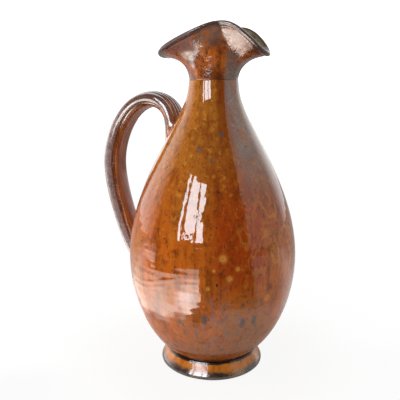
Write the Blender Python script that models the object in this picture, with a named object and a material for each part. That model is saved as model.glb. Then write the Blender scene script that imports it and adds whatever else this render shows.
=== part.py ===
"""Earthenware pitcher: a turned body on a splayed foot, a trefoil mouth and a reeded strap handle.

The Z axis is the axis of the turned body and z = 0 is the face that the foot stands on.
The spout points to +X and the handle is on the -X side. Lengths are metres, angles are radians.
"""

import math

import bmesh
import bpy
import numpy as np

MM = 0.001

# Joints: the layer of slip left between two pieces
JOINT_GAP = 0.3 * MM

# Foot: a thick splayed disc, flat underneath and dished on top for the bowl of the body
FOOT_HEIGHT = 13.0 * MM
FOOT_BASE_RADIUS = 41.0 * MM
FOOT_WIDEST_RADIUS = 42.8 * MM
FOOT_WIDEST_HEIGHT = 2.6 * MM
FOOT_SWEEP = 4.0 * MM
FOOT_LEDGE = 0.7 * MM
FOOT_PAD = 6.7 * MM

# Body: a bowl that is a quarter ellipse, and a shoulder that sweeps in to the neck
SEAT_RADIUS = 36.0 * MM
BELLY_RADIUS = 68.5 * MM
BOWL_HEIGHT = 79.5 * MM
SHOULDER_HEIGHT = 141.1 * MM
SHOULDER_SWELL = 63.0 * MM
NECK_SWEEP = 30.0 * MM
BELLY_WALL = 5.5 * MM
FLOOR_THICKNESS = 6.0 * MM

# Neck: the incised line runs where the collar laps into the body
NECK_RADIUS = 19.5 * MM
NECK_WALL = 4.4 * MM
NECK_LINE_CUT = 0.7 * MM
LAP_DEPTH = 3.0 * MM

# Mouth: heights are above the neck line
PINCH_ANGLE = math.radians(59.0)
PINCH_RADIUS = 24.0 * MM
PINCH_HEIGHT = 40.0 * MM
PINCH_LEAN = math.radians(22.0)
PINCH_DRIFT = math.radians(26.0)
PINCH_RUN = 9.0 * MM
SPOUT_REACH = 44.2 * MM
SPOUT_HEIGHT = 17.6 * MM
BACK_LOBE_REACH = 44.6 * MM
BACK_LOBE_HEIGHT = 19.4 * MM
SPOUT_FULLNESS = 0.85
SPOUT_DIP_POWER = 1.6
SPOUT_FLARE_POWER = 3.0
BACK_LOBE_FULLNESS = 1.0
BACK_DIP_POWER = 0.86
BACK_FLARE_POWER = 0.7
LOBE_LEAN = math.radians(84.0)
LOBE_RUN = 19.0 * MM
COLLAR_RISE = 10.5 * MM
COLLAR_LEAN = math.radians(5.0)
LIP_WALL = 3.0 * MM

# Handle: a pulled strap, measured along its centre line
HANDLE_WIDTH = 26.4 * MM
HANDLE_THICKNESS = 13.5 * MM
REED_COUNT = 4
REED_DEPTH = 1.3 * MM
UPPER_ROOT_DROP = 39.6 * MM
UPPER_ROOT_EASE = 20.0 * MM
UPPER_ROOT_LENGTH = 13.0 * MM
UPPER_ROOT_FLARE = 2.4 * MM
CREST_RISE = 25.7 * MM
CREST_RUN = 20.9 * MM
CREST_EASE_IN = 8.5 * MM
CREST_EASE_OUT = 24.0 * MM
GRIP_STANDOFF = 26.8 * MM
GRIP_RISE = 71.7 * MM
GRIP_EASE_UP = 24.2 * MM
GRIP_EASE_DOWN = 26.7 * MM
TAIL_DROP = 9.0 * MM
TAIL_SLOPE = math.radians(46.0)
TAIL_EASE = 13.5 * MM
LOWER_ROOT_LENGTH = 14.0 * MM
LOWER_ROOT_FLARE = 3.0 * MM
ROOT_SINK = 16.0 * MM

# Facets
TURN_STEPS = 48
MOUTH_STEPS = 60
BOWL_POINTS = 12
SHOULDER_POINTS = 14
COLLAR_POINTS = 10
RIM_POINTS = 3
FOOT_POINTS = 6
STRAP_STATIONS = 34
ROOT_STATIONS = 6
REED_POINTS = 4
STRAP_BACK_POINTS = 9
STRAP_SQUARENESS = 2.6
CURVE_POINTS = 60
SHARP_ANGLE = math.radians(40.0)
WELD_DISTANCE = 0.001 * MM

# Heights that follow from the sizes above
FLOOR_UNDERSIDE = FOOT_PAD + JOINT_GAP
FLOOR_TOP = FLOOR_UNDERSIDE + FLOOR_THICKNESS
BELLY_Z = FOOT_HEIGHT + BOWL_HEIGHT
NECK_Z = BELLY_Z + SHOULDER_HEIGHT


def bezier(start, leave, arrive, end, count):
    """Return count points on a cubic Bezier curve, both ends included."""
    t = np.linspace(0.0, 1.0, count)[:, None]
    points = [np.asarray(p, float) for p in (start, leave, arrive, end)]
    weights = ((1 - t) ** 3, 3 * t * (1 - t) ** 2, 3 * t**2 * (1 - t), t**3)
    return sum(w * p for w, p in zip(weights, points))


def side_normals(curve):
    """Return the unit normals on the right-hand side of a plane curve's direction of travel."""
    along = np.gradient(curve, axis=0)
    along /= np.linalg.norm(along, axis=1)[:, None]
    return np.stack([along[:, 1], -along[:, 0]], axis=1)


# Turned profiles, as (radius, height) pairs

def bowl_radius(height):
    """Outer radius of the bowl: an ellipse through the seat and the belly's widest ring."""
    reach = BOWL_HEIGHT / math.sqrt(1 - (SEAT_RADIUS / BELLY_RADIUS) ** 2)
    return BELLY_RADIUS * np.sqrt(1 - ((BELLY_Z - height) / reach) ** 2)


def bowl_profile():
    """Bowl from the floor's underside to the belly's widest ring."""
    heights = BELLY_Z - (BELLY_Z - FLOOR_UNDERSIDE) * np.sin(np.linspace(math.pi / 2, 0, BOWL_POINTS))
    return np.stack([bowl_radius(heights), heights], axis=1)


def shoulder_profile(count):
    """Shoulder from the belly's widest ring to the neck line, upright at both ends."""
    return bezier(
        (BELLY_RADIUS, BELLY_Z),
        (BELLY_RADIUS, BELLY_Z + SHOULDER_SWELL),
        (NECK_RADIUS, NECK_Z - NECK_SWEEP),
        (NECK_RADIUS, NECK_Z),
        count,
    )


def outer_profile():
    """Whole outside of the body, from the floor's underside to the neck line."""
    return np.vstack([bowl_profile()[:-1], shoulder_profile(SHOULDER_POINTS)])


def body_radius(height):
    """Outer radius of the body at a height."""
    if height < BELLY_Z:
        return float(bowl_radius(height))
    curve = shoulder_profile(CURVE_POINTS)
    return float(np.interp(height, curve[:, 1], curve[:, 0]))


def body_profile():
    """Closed section of the body: out along the floor, up the outside, over the lap, down the inside."""
    outside = outer_profile()
    share = np.clip((outside[:, 1] - BELLY_Z) / SHOULDER_HEIGHT, 0.0, 1.0)
    walls = BELLY_WALL + (NECK_WALL - BELLY_WALL) * share
    inside = outside - side_normals(outside) * walls[:, None]
    lap_floor = NECK_Z - LAP_DEPTH
    inside = inside[(inside[:, 1] > FLOOR_TOP) & (inside[:, 1] < lap_floor)]
    lap_radius = NECK_RADIUS - NECK_WALL / 2
    bore_radius = NECK_RADIUS - NECK_WALL
    return [
        (0.0, FLOOR_UNDERSIDE),
        *outside[:-1],
        (NECK_RADIUS, NECK_Z - NECK_LINE_CUT),
        (NECK_RADIUS - NECK_LINE_CUT, NECK_Z),
        (lap_radius, NECK_Z),
        (lap_radius, lap_floor),
        (bore_radius, lap_floor),
        *inside[::-1],
        (inside[0][0] - (inside[0][1] - FLOOR_TOP), FLOOR_TOP),
        (0.0, FLOOR_TOP),
    ]


def foot_profile():
    """Closed section of the foot: out along the base, up the splayed side, down into the dish."""
    crease_radius = SEAT_RADIUS + JOINT_GAP + FOOT_LEDGE
    edge = bezier(
        (FOOT_BASE_RADIUS, 0.0),
        (FOOT_WIDEST_RADIUS, 0.0),
        (FOOT_WIDEST_RADIUS, 0.0),
        (FOOT_WIDEST_RADIUS, FOOT_WIDEST_HEIGHT),
        FOOT_POINTS,
    )
    slope = bezier(
        (FOOT_WIDEST_RADIUS, FOOT_WIDEST_HEIGHT),
        (FOOT_WIDEST_RADIUS, FOOT_WIDEST_HEIGHT + FOOT_SWEEP),
        (crease_radius, FOOT_HEIGHT - FOOT_SWEEP),
        (crease_radius, FOOT_HEIGHT),
        FOOT_POINTS,
    )
    bowl = bowl_profile()
    dish = bowl + side_normals(bowl) * JOINT_GAP
    dish = dish[dish[:, 1] < FOOT_HEIGHT]
    return [
        (0.0, 0.0),
        *edge,
        *slope[1:],
        (SEAT_RADIUS + JOINT_GAP, FOOT_HEIGHT),
        *dish[::-1],
        (dish[0][0], FOOT_PAD),
        (0.0, FOOT_PAD),
    ]


# Mouth collar

def lobe_share(azimuth):
    """How far an azimuth lies from the nearest pinch: 0 at the pinch, 1 in the middle of a lobe."""
    turn = abs(azimuth)
    if turn < PINCH_ANGLE:
        share = 1 - turn / PINCH_ANGLE
    else:
        share = (turn - PINCH_ANGLE) / (math.pi - PINCH_ANGLE)
    return 0.5 - 0.5 * math.cos(math.pi * share)


def lip_edge(azimuth):
    """Radius and height of the lip's edge, the lean of the wall there, and the length that leans so."""
    share = lobe_share(azimuth)
    in_spout = abs(azimuth) < PINCH_ANGLE
    reach = SPOUT_REACH if in_spout else BACK_LOBE_REACH
    height = SPOUT_HEIGHT if in_spout else BACK_LOBE_HEIGHT
    fullness = SPOUT_FULLNESS if in_spout else BACK_LOBE_FULLNESS
    power = SPOUT_DIP_POWER if in_spout else BACK_DIP_POWER
    radius = PINCH_RADIUS + (reach - PINCH_RADIUS) * share**fullness
    drop = (PINCH_HEIGHT - height) * share**power
    flare = share ** (SPOUT_FLARE_POWER if in_spout else BACK_FLARE_POWER)
    lean = PINCH_LEAN + (LOBE_LEAN - PINCH_LEAN) * flare
    run = PINCH_RUN + (LOBE_RUN - PINCH_RUN) * flare
    return radius, NECK_Z + PINCH_HEIGHT - drop, lean, run


def collar_meridian(azimuth):
    """Outside of the collar at one azimuth, from the neck line to the lip's edge."""
    radius, height, lean, run = lip_edge(azimuth)
    foot = NECK_Z + JOINT_GAP + NECK_LINE_CUT
    return bezier(
        (NECK_RADIUS, foot),
        (NECK_RADIUS + COLLAR_RISE * math.sin(COLLAR_LEAN), foot + COLLAR_RISE * math.cos(COLLAR_LEAN)),
        (radius - run * math.sin(lean), height - run * math.cos(lean)),
        (radius, height),
        COLLAR_POINTS,
    )


def pinch_drift(azimuth):
    """Turn towards the spout of the wall under a point of the rim, by the time it reaches the neck line."""
    turn = abs(azimuth)
    if turn < PINCH_ANGLE:
        share = math.sin(math.pi / 2 * turn / PINCH_ANGLE)
    else:
        share = math.cos(math.pi / 2 * (turn - PINCH_ANGLE) / (math.pi - PINCH_ANGLE))
    return math.copysign(PINCH_DRIFT * share, azimuth)


def collar_rings():
    """Rings of points around the collar's closed wall, in order round its section."""
    azimuths = np.linspace(-math.pi, math.pi, MOUTH_STEPS, endpoint=False)
    flat = np.array([collar_meridian(a) for a in azimuths]).transpose(1, 0, 2)
    drift = np.array([pinch_drift(a) for a in azimuths])
    swung = azimuths - drift * np.linspace(1.0, 0.0, COLLAR_POINTS)[:, None]
    outside = np.stack([flat[..., 0] * np.cos(swung), flat[..., 0] * np.sin(swung), flat[..., 1]], axis=-1)
    upward = np.gradient(outside, axis=0)
    around = np.roll(outside, -1, axis=1) - np.roll(outside, 1, axis=1)
    normal = np.cross(around, upward)
    normal /= np.linalg.norm(normal, axis=2)[..., None]
    upward /= np.linalg.norm(upward, axis=2)[..., None]
    walls = np.linspace(NECK_WALL, LIP_WALL, COLLAR_POINTS)[:, None, None]
    inside = outside - normal * walls
    middle = (outside[-1] + inside[-1]) / 2
    rim = []
    for angle in np.linspace(0, math.pi, RIM_POINTS + 2)[1:-1]:
        swing = normal[-1] * math.cos(angle) + upward[-1] * math.sin(angle)
        rim.append(middle + swing * LIP_WALL / 2)

    def circle(radius, height):
        heights = np.full(MOUTH_STEPS, height)
        return np.stack([radius * np.cos(swung[0]), radius * np.sin(swung[0]), heights], axis=-1)

    lap_radius = NECK_RADIUS - NECK_WALL / 2 - JOINT_GAP
    shelf = NECK_Z + JOINT_GAP
    spigot = shelf - LAP_DEPTH
    joint = [
        circle(NECK_RADIUS - NECK_WALL, spigot),
        circle(lap_radius, spigot),
        circle(lap_radius, shelf),
        circle(NECK_RADIUS - NECK_LINE_CUT, shelf),
    ]
    return [*outside, *rim, *inside[:0:-1], *joint]


# Handle, in the plane of the spout: (distance from the axis, height) pairs

def handle_line():
    """Centre line of the strap from the shoulder, over the crest, down the grip to the belly."""
    upper_z = NECK_Z - UPPER_ROOT_DROP
    upper = np.array([body_radius(upper_z), upper_z])
    crest = upper + np.array([CREST_RUN, CREST_RISE])
    grip = np.array([BELLY_RADIUS + GRIP_STANDOFF, BELLY_Z + GRIP_RISE])
    lower_z = BELLY_Z - TAIL_DROP
    lower = np.array([body_radius(lower_z), lower_z])
    tail = np.array([math.cos(TAIL_SLOPE), math.sin(TAIL_SLOPE)])
    out = np.array([1.0, 0.0])
    up = np.array([0.0, 1.0])
    pieces = [
        bezier(upper, upper + up * UPPER_ROOT_EASE, crest - out * CREST_EASE_IN, crest, CURVE_POINTS),
        bezier(crest, crest + out * CREST_EASE_OUT, grip + up * GRIP_EASE_UP, grip, CURVE_POINTS)[1:],
        bezier(grip, grip - up * GRIP_EASE_DOWN, lower + tail * TAIL_EASE, lower, CURVE_POINTS)[1:],
    ]
    return np.vstack([[upper - up * ROOT_SINK], *pieces, [lower - tail * ROOT_SINK]])


def strap_section(width, thickness):
    """Closed section of the strap: reeded outer face first, then the plain face next to the hand."""
    steps = REED_COUNT * REED_POINTS
    across = np.linspace(-1.0, 1.0, steps + 1)
    arch = (1 - np.abs(across) ** STRAP_SQUARENESS) ** (1 / STRAP_SQUARENESS)
    outer = np.stack([across * width / 2, arch * thickness / 2], axis=1)
    outer[REED_POINTS:steps:REED_POINTS, 1] -= REED_DEPTH
    angle = np.linspace(0, math.pi, STRAP_BACK_POINTS + 2)[1:-1]
    power = 2 / STRAP_SQUARENESS
    back_across = np.sign(np.cos(angle)) * np.abs(np.cos(angle)) ** power
    back = np.stack([back_across * width / 2, -np.sin(angle) ** power * thickness / 2], axis=1)
    return np.vstack([outer, back])


def strap_rings(start, end, count):
    """Rings of the strap between two lengths along its centre line, flared near the body."""
    line = handle_line()
    length = np.concatenate([[0.0], np.cumsum(np.linalg.norm(np.diff(line, axis=0), axis=1))]) - ROOT_SINK
    direction = np.gradient(line, axis=0)
    rings = []
    for at in np.linspace(start, end, count):
        centre = np.array([np.interp(at, length, line[:, i]) for i in (0, 1)])
        along = np.array([np.interp(at, length, direction[:, i]) for i in (0, 1)])
        along /= np.linalg.norm(along)
        outward = np.array([-along[1], along[0]])
        near_top = np.clip(1 - at / UPPER_ROOT_LENGTH, 0.0, 1.0)
        near_tail = np.clip(1 - (handle_length() - at) / LOWER_ROOT_LENGTH, 0.0, 1.0)
        flare = UPPER_ROOT_FLARE * near_top**2 + LOWER_ROOT_FLARE * near_tail**2
        section = strap_section(HANDLE_WIDTH + flare, HANDLE_THICKNESS + flare)
        plane = centre + section[:, 1:] * outward
        rings.append(np.stack([-plane[:, 0], section[:, 0], plane[:, 1]], axis=1))
    return rings


def handle_length():
    """Length of the centre line between the two points where it meets the body."""
    line = handle_line()[1:-1]
    return float(np.linalg.norm(np.diff(line, axis=0), axis=1).sum())


# Meshes and objects

def add_object(name, mesh_builder, parent):
    """Turn a filled bmesh into a named, smooth-shaded object with outward faces."""
    bmesh.ops.remove_doubles(mesh_builder, verts=mesh_builder.verts, dist=WELD_DISTANCE)
    bmesh.ops.recalc_face_normals(mesh_builder, faces=mesh_builder.faces)
    mesh = bpy.data.meshes.new(name)
    mesh_builder.to_mesh(mesh)
    mesh_builder.free()
    mesh.shade_smooth()
    mesh.set_sharp_from_angle(angle=SHARP_ANGLE)
    item = bpy.data.objects.new(name, mesh)
    item.parent = parent
    bpy.context.collection.objects.link(item)
    return item


def turned(name, profile, parent):
    """Spin a (radius, height) section about the Z axis."""
    builder = bmesh.new()
    verts = [builder.verts.new((radius, 0.0, height)) for radius, height in profile]
    edges = [builder.edges.new(pair) for pair in zip(verts, verts[1:])]
    bmesh.ops.spin(
        builder, geom=verts + edges, cent=(0, 0, 0), axis=(0, 0, 1), angle=2 * math.pi, steps=TURN_STEPS,
        use_merge=True,
    )
    return add_object(name, builder, parent)


def skinned(name, rings, parent, closed):
    """Skin a run of rings, joining the last to the first or capping both ends."""
    builder = bmesh.new()
    loops = [[builder.verts.new(point) for point in ring] for ring in rings]
    pairs = list(zip(loops, loops[1:]))
    if closed:
        pairs.append((loops[-1], loops[0]))
    else:
        builder.faces.new(loops[0])
        builder.faces.new(loops[-1])
    for one, two in pairs:
        for i in range(len(one)):
            j = (i + 1) % len(one)
            builder.faces.new((one[i], one[j], two[j], two[i]))
    return add_object(name, builder, parent)


def glazed(item, colour, roughness):
    """Give a piece its own Principled material."""
    material = bpy.data.materials.new(item.name + "_glaze")
    material.use_nodes = True
    shader = material.node_tree.nodes["Principled BSDF"]
    shader.inputs["Base Color"].default_value = (*colour, 1.0)
    shader.inputs["Roughness"].default_value = roughness
    shader.inputs["Metallic"].default_value = 0.0
    item.data.materials.append(material)


def cut_by(item, cutter):
    """Trim a piece to the outside of a cutter."""
    cut = item.modifiers.new("fit_to_body", "BOOLEAN")
    cut.operation = "DIFFERENCE"
    cut.solver = "EXACT"
    cut.object = cutter


def body_cutter(parent):
    """Guide: the outside of the body, larger by the joint gap, that the handle's roots are trimmed to."""
    outside = outer_profile()
    grown = outside + side_normals(outside) * JOINT_GAP
    profile = [(0.0, FLOOR_UNDERSIDE), *grown, (0.0, NECK_Z)]
    cutter = turned("body_cutter", profile, parent)
    cutter.hide_render = True
    cutter.display_type = "WIRE"
    return cutter


def build():
    """Make every piece of the pitcher."""
    for item in list(bpy.data.objects):
        bpy.data.objects.remove(item, do_unlink=True)
    pitcher = bpy.data.objects.new("pitcher", None)
    bpy.context.collection.objects.link(pitcher)

    glazed(turned("foot", foot_profile(), pitcher), (0.20, 0.075, 0.028), 0.25)
    glazed(turned("belly", body_profile(), pitcher), (0.42, 0.145, 0.030), 0.12)
    glazed(skinned("mouth_collar", collar_rings(), pitcher, closed=True), (0.30, 0.100, 0.026), 0.14)

    cutter = body_cutter(pitcher)
    strap_end = handle_length() - LOWER_ROOT_LENGTH
    upper = strap_rings(-ROOT_SINK, UPPER_ROOT_LENGTH - JOINT_GAP, ROOT_STATIONS)
    strap = strap_rings(UPPER_ROOT_LENGTH, strap_end, STRAP_STATIONS)
    lower = strap_rings(strap_end + JOINT_GAP, handle_length() + ROOT_SINK, ROOT_STATIONS)
    for name, rings in (("handle_upper_root", upper), ("handle_lower_root", lower)):
        root = skinned(name, rings, pitcher, closed=False)
        cut_by(root, cutter)
        glazed(root, (0.22, 0.070, 0.024), 0.16)
    glazed(skinned("handle_strap", strap, pitcher, closed=False), (0.17, 0.055, 0.024), 0.16)


build()
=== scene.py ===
import math

import bpy
import numpy as np
from mathutils import Matrix, Vector


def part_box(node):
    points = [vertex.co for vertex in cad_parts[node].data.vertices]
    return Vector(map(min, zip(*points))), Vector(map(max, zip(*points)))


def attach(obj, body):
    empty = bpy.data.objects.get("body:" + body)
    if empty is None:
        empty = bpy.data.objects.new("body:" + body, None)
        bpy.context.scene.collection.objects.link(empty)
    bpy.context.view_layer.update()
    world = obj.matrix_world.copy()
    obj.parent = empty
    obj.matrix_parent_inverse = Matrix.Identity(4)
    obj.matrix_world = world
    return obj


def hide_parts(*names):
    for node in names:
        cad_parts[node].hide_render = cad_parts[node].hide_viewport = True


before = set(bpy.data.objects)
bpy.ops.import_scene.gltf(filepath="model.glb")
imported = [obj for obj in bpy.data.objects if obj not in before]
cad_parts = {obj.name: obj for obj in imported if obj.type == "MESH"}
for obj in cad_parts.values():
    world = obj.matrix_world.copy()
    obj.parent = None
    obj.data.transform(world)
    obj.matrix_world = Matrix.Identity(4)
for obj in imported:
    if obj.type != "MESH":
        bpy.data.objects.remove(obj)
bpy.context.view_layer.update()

MM = 0.001

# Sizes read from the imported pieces
belly_low, belly_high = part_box("belly")
foot_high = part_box("foot")[1]
BELLY_RADIUS = belly_high.x
FLOOR_UNDERSIDE = belly_low.z
NECK_Z = belly_high.z
FOOT_WIDEST_RADIUS = foot_high.x
FOOT_HEIGHT = foot_high.z

# Body
SEAT_RADIUS = 36.0 * MM
BELLY_Z = 92.5 * MM
SHOULDER_SWELL = 63.0 * MM
NECK_SWEEP = 30.0 * MM
NECK_RADIUS = 19.5 * MM
BELLY_WALL = 5.5 * MM
NECK_WALL = 4.4 * MM
FLOOR_TOP = 13.0 * MM
NECK_LEDGE = 0.35 * MM
FLATS = ((0.22 * MM, 2, 1.1, 0.8), (0.12 * MM, 3, -0.6, 2.1))
RING_DEPTH = 0.035 * MM
RING_PITCH = 6.3 * MM
RING_WANDER = 1.4
RIDGE_AZIMUTH = math.radians(-112.0)
RIDGE_SPREAD = 0.5
RIDGE_DROP = 9.5 * MM
RIDGE_CLIMB = 10.0 * MM
RIDGES = ((0.26 * MM, 0.9 * MM, 0.0), (0.2 * MM, 0.8 * MM, 4.2 * MM))
PINHOLE_DEPTH = 0.35 * MM
BLISTER_RISE = 0.28 * MM
BLISTER_PIT = 0.25 * MM
OUTLINE_POINTS = 400
BODY_RINGS = 200
BODY_INNER_RINGS = 40
BODY_STEPS = 380

# Foot
BEAD_RADIUS = 2.7 * MM
BEAD_HEIGHT = 2.8 * MM
SLOPE_ANGLE = math.radians(25.0)
FOOT_SWEEP = 3.0 * MM
FOOT_LEDGE = 1.0 * MM
FOOT_PAD = 6.7 * MM
FOOT_WAVES = ((0.18 * MM, 2, 0.7, 0.0), (0.1 * MM, 5, -1.0, 0.0), (0.05 * MM, 11, 0.0, 0.0))
FOOT_LIFT = ((0.12 * MM, 3, 0.4, 0.0),)
FOOT_POINTS = 26
FOOT_TOP_POINTS = 10
FOOT_STEPS = 260

# Mouth, with heights above the neck line
PINCH_ANGLE = math.radians(59.0)
PINCH_RADIUS = 24.0 * MM
PINCH_HEIGHT = 40.0 * MM
PINCH_LEAN = math.radians(22.0)
PINCH_DRIFT = math.radians(26.0)
SPOUT_REACH = 44.2 * MM
SPOUT_HEIGHT = 17.6 * MM
SPOUT_FULLNESS = 0.85
SPOUT_DIP_POWER = 1.6
SPOUT_FLARE_POWER = 3.0
BACK_LOBE_REACH = 44.6 * MM
BACK_LOBE_HEIGHT = 19.4 * MM
BACK_DIP_POWER = 0.86
BACK_FLARE_POWER = 0.7
LOBE_LEAN = math.radians(84.0)
COLLAR_RISE = 10.5 * MM
COLLAR_LEAN = math.radians(5.0)
PINCH_RUN = 9.0 * MM
LOBE_RUN = 19.0 * MM
LIP_WALL = 2.8 * MM
BEAD_SWELL = 0.5 * MM
BEAD_WIDTH = 2.2 * MM
BEAD_GROOVE = 0.25 * MM
RIM_FLATNESS = 0.85
FAR_FROM_RIM = 50.0 * MM
MOUTH_STEPS = 440
MOUTH_RINGS = 80
RIM_RINGS = 14

# Handle, measured along its centre line
HANDLE_WIDTH = 26.4 * MM
HANDLE_THICKNESS = 13.5 * MM
STRAP_SQUARENESS = 2.6
UPPER_ROOT_DROP = 39.6 * MM
UPPER_ROOT_EASE = 20.0 * MM
CREST_RISE = 25.7 * MM
CREST_RUN = 20.9 * MM
CREST_EASE_IN = 8.5 * MM
CREST_EASE_OUT = 24.0 * MM
GRIP_STANDOFF = 26.8 * MM
GRIP_RISE = 71.7 * MM
GRIP_EASE_UP = 24.2 * MM
GRIP_EASE_DOWN = 26.7 * MM
TAIL_DROP = 9.0 * MM
TAIL_SLOPE = math.radians(46.0)
TAIL_EASE = 13.5 * MM
ROOT_SINK = 13.0 * MM
ROOT_FILLET = 4.5 * MM
ROOT_SPREAD = 0.6
ROOT_DEPTH = 1.5 * MM
HANDLE_POINTS = 80
FLANK_FROM = (0.2, 0.32)
INNER_FACE_FROM = (0.3, 0.5)
STRAP_STATIONS = 320
STRAP_STEPS = 160

# Grooves between the reeds: (place across the outer face, depth, reach, power of the slope)
GROOVED_SHARE = 0.62
GROOVES = (
    (0.0, 0.8 * MM, 0.1, 2.0),
    (0.2, 0.9 * MM, 0.1, 2.0),
    (0.4, 1.2 * MM, 0.2, 2.0),
    (1.05, 1.9 * MM, 0.27, 1.1),
)

# Marks in the glaze: (azimuth in degrees, height, size)
PINHOLES = (
    (-59.1, 108.6 * MM, 3.4 * MM),
    (-54.9, 94.0 * MM, 2.8 * MM),
    (-28.4, 75.4 * MM, 3.2 * MM),
    (-68.0, 86.7 * MM, 2.0 * MM),
    (-64.5, 100.1 * MM, 1.5 * MM),
    (-50.0, 100.9 * MM, 2.0 * MM),
    (75.0, 118.0 * MM, 2.6 * MM),
    (140.0, 84.0 * MM, 2.4 * MM),
)
ASH_RUNS = (
    (-80.2, 183.0 * MM, 2.4 * MM),
    (-55.6, 194.0 * MM, 1.7 * MM),
    (-67.2, 174.5 * MM, 1.5 * MM),
    (-36.1, 58.0 * MM, 2.8 * MM),
    (-45.1, 57.0 * MM, 2.2 * MM),
    (-70.0, 61.0 * MM, 3.0 * MM),
    (-87.3, 58.0 * MM, 1.8 * MM),
    (30.0, 150.0 * MM, 2.4 * MM),
    (110.0, 120.0 * MM, 2.2 * MM),
)
BLISTERS = ((-74.9, 137.1 * MM, 2.6 * MM), (-81.7, 123.1 * MM, 2.2 * MM))

# Areas of the glaze: an azimuth in degrees, or an azimuth and a height
RED_BEARING = -48.0
SHADED_BEARING = -46.0
SCUM_BEARING = 0.0
LOW_SCUM = (-55.0, 50.0 * MM)
WORM_TRACKS = (-20.0, 115.0 * MM)
MOUTH_VEIL_BEARING = -74.0
SPOUT_FLANK_BEARING = -32.0
DULL_SHADED_LOBE_BEARING = -122.0
BRIGHT_LOBE_BEARING = -104.0

# Viewpoint, measured from the body's axis
VIEW_AZIMUTH = math.radians(26.0)
VIEW_DISTANCE = 404.4 * MM
VIEW_HEIGHT = 214.75 * MM
VIEW_SIDESTEP = -10.4 * MM
VIEW_PITCH = math.radians(10.74)
VIEW_ROLL = math.radians(0.2)
FOCAL_LENGTH = 45.0
SENSOR_WIDTH = 36.0

# Glaze
GLAZE_IOR = 1.72
LUSTRE_IOR = 1.8
LUSTRE_ROUGHNESS = 0.07

# Glaze colours, linear
HONEY = (0.29, 0.094, 0.012)
AMBER = (0.28, 0.064, 0.006)
RUSSET = (0.43, 0.092, 0.007)
BLOOD = (0.27, 0.034, 0.003)
CHESTNUT = (0.15, 0.024, 0.003)
UMBER = (0.06, 0.016, 0.005)
PLUM = (0.055, 0.030, 0.027)
SOOT = (0.014, 0.010, 0.010)
ASH = (0.06, 0.056, 0.056)
SCUM_AND_SHEEN_GREY = (0.14, 0.105, 0.085)
CRACK = (0.30, 0.25, 0.22)
GOLD = (0.44, 0.18, 0.022)
HALO = (0.55, 0.22, 0.035)
ORANGE = (0.40, 0.10, 0.008)
WORN_EDGE_AND_GLINT = (0.46, 0.32, 0.26)
BEAD_OCHRE = (0.20, 0.11, 0.03)

# Pairs of tones that are mixed
GRITTY_SCUM = ((0.18, 0.15, 0.138), (0.10, 0.082, 0.076))
MOUTH_TONES = ((0.42, 0.094, 0.010), (0.11, 0.026, 0.007))
OLIVES = ((0.18, 0.145, 0.08), (0.075, 0.058, 0.03))
LILACS = ((0.30, 0.21, 0.20), (0.15, 0.095, 0.088))
STRAP_BROWNS = ((0.32, 0.090, 0.018), (0.14, 0.034, 0.009))
STRAP_INSIDES = ((0.40, 0.115, 0.022), (0.24, 0.062, 0.012))
FOOT_AMBERS = ((0.40, 0.134, 0.014), (0.33, 0.09, 0.011))
BEAD_TONES = ((0.022, 0.016, 0.015), (0.07, 0.045, 0.035))
CLAYS = ((0.34, 0.15, 0.08), (0.25, 0.10, 0.05))

# Studio, in metres, with angles in degrees to the right of the line from the pitcher to the viewpoint
WINDOW_DISTANCE = 1.6
WINDOW_LOW = 0.30
WINDOW_HIGH = 1.45
WINDOW_PANES = ((-50.0, -45.5), (-41.0, -27.0), (-24.0, -14.5))
WINDOW_RADIANCE = 9.5
WINDOW_TINT = (0.86, 0.93, 1.0)
FILLS = ((-84.0, 6.15), (60.0, 2.1))
FILL_DISTANCE = 1.1
FILL_HEIGHT = 0.4
FILL_SIZE = 1.0
WHITE = (1.0, 1.0, 1.0)
SOFT_WHITE = (1.0, 0.97, 0.94)

# Walls, glow and ground that the gloss reflects
RIGHT_WALL_EDGE = 48.0
RIGHT_WALL_RADIANCE = 0.42
RIGHT_WALL_RISE = 0.15
LEFT_WALL_EDGE = -80.0
LEFT_WALL_RADIANCE = 1.5
BACK_GLOW_RADIANCE = 1.5
BACK_TABLE_RADIANCE = 0.45
BACK_TABLE_REACH = 5.0
BACK_TABLE_FRONT = -0.14
SUNLIT_RADIANCE = (2.2, 4.6)
SUNLIT_CORNER = (-28.0, -38.0, 3.2)
SUNLIT_TOP = 8.0
SUNLIT_TILT = 0.18
SUNLIT_RIGHT = -18.0
SUNLIT_NEAR = 0.73
SUNLIT_NEAR_ANGLE = 101.0
SUNLIT_LEFT_LOSS = 0.3
SUNLIT_TINT = (1.0, 0.93, 0.85)
SLIT_RADIANCE = 2.4
SLIT_ANGLE = -94.0
SLIT_SLANT = 1.44
SLIT_DROP = 0.148
SLIT_EDGES = (0.07, 0.09)
AMBIENT_RADIANCE = 0.012
SPOT_RADIANCE = 7.5
SPOT_DIM = (0.43, 0.365, 0.30)
SPOT_ANGLE = -31.0
SPOT_DISTANCE = 0.178
SPOT_EDGES = (-60.0, -16.0)
SPOT_REACH = (0.14, 0.25)
SHEET_LIFT = 3.0 * MM

# Floor
FLOOR_REACH = 6.0
FLOOR_PALE = (0.82, 0.81, 0.8)
# Darker and warmer close to the pitcher: a painted shadow.
FLOOR_WARM_SHADOW = (0.56, 0.48, 0.42)
FLOOR_SHADE = (0.02, 0.018, 0.016)
FLOOR_WHITE_NEAR = 0.9
FLOOR_OPEN_FROM = 0.11
FLOOR_OPEN_TO = 0.61


def bezier(start, leave, arrive, end, count):
    """Cubic Bezier curve: the four points weighted by the Bernstein polynomials of t from 0 to 1.

    The points are (2,) or (2, m) arrays, and the result is (count, 2) or (count, 2, m).
    """
    points = [np.asarray(p, float) for p in (start, leave, arrive, end)]
    t = np.linspace(0.0, 1.0, count).reshape((count,) + (1,) * points[0].ndim)
    weights = ((1 - t) ** 3, 3 * t * (1 - t) ** 2, 3 * t**2 * (1 - t), t**3)
    return sum(w * p for w, p in zip(weights, points))


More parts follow.
